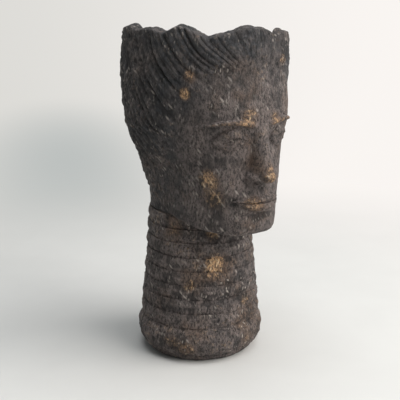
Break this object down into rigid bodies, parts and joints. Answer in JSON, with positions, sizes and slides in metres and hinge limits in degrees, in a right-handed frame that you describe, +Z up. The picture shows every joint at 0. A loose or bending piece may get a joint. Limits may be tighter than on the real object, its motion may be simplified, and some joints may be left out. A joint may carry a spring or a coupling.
{
  "type": "figural vase",
  "caption": "Hand-built dark clay head vase with an open wavy crown, swept-back hair and a long coiled neck.",
  "frame": {"origin": "centre of the foot's flat underside, on the neck's axis, at the surface the vase stands on", "axes": "+Z up along the neck to the open crown, -Y the way the face looks, +X to the figure's left"},
  "size_m": [0.1526, 0.1921, 0.3276],
  "materials": {
    "neck_clay": "rough fired clay, dark brown-black, with worn bronze highlights",
    "face_clay": "rough fired clay, dark brown-black, with worn bronze highlights",
    "hair_clay": "rough fired clay, nearly black, raked"
  },
  "bodies": {
    "root": {"floor_slab": "neck_clay", "foot_ring": "neck_clay", "neck_coil_1": "neck_clay", "neck_coil_2": "neck_clay", "neck_coil_3": "neck_clay", "neck_coil_4": "neck_clay", "neck_coil_5": "neck_clay", "neck_coil_6": "neck_clay", "neck_coil_7": "neck_clay", "neck_coil_8": "neck_clay", "chin_band": "face_clay", "jaw_band": "face_clay", "cheek_band": "face_clay", "crown_band": "face_clay", "nose": "face_clay", "upper_lip": "face_clay", "lower_lip": "face_clay", "eye_left": "face_clay", "upper_eyelid_left": "face_clay", "lower_eyelid_left": "face_clay", "brow_left": "face_clay", "eye_right": "face_clay", "upper_eyelid_right": "face_clay", "lower_eyelid_right": "face_clay", "brow_right": "face_clay", "hair_lock_left_01": "hair_clay", "hair_lock_left_02": "hair_clay", "hair_lock_left_03": "hair_clay", "hair_lock_left_04": "hair_clay", "hair_lock_left_05": "hair_clay", "hair_lock_left_06": "hair_clay", "hair_lock_left_07": "hair_clay", "hair_lock_left_08": "hair_clay", "hair_lock_left_09": "hair_clay", "hair_lock_left_10": "hair_clay", "hair_lock_left_11": "hair_clay", "hair_lock_left_12": "hair_clay", "hair_lock_right_01": "hair_clay", "hair_lock_right_02": "hair_clay", "hair_lock_right_03": "hair_clay", "hair_lock_right_04": "hair_clay", "hair_lock_right_05": "hair_clay", "hair_lock_right_06": "hair_clay", "hair_lock_right_07": "hair_clay", "hair_lock_right_08": "hair_clay", "hair_lock_right_09": "hair_clay", "hair_lock_right_10": "hair_clay", "hair_lock_right_11": "hair_clay", "hair_lock_right_12": "hair_clay"}
  },
  "joints": []
}
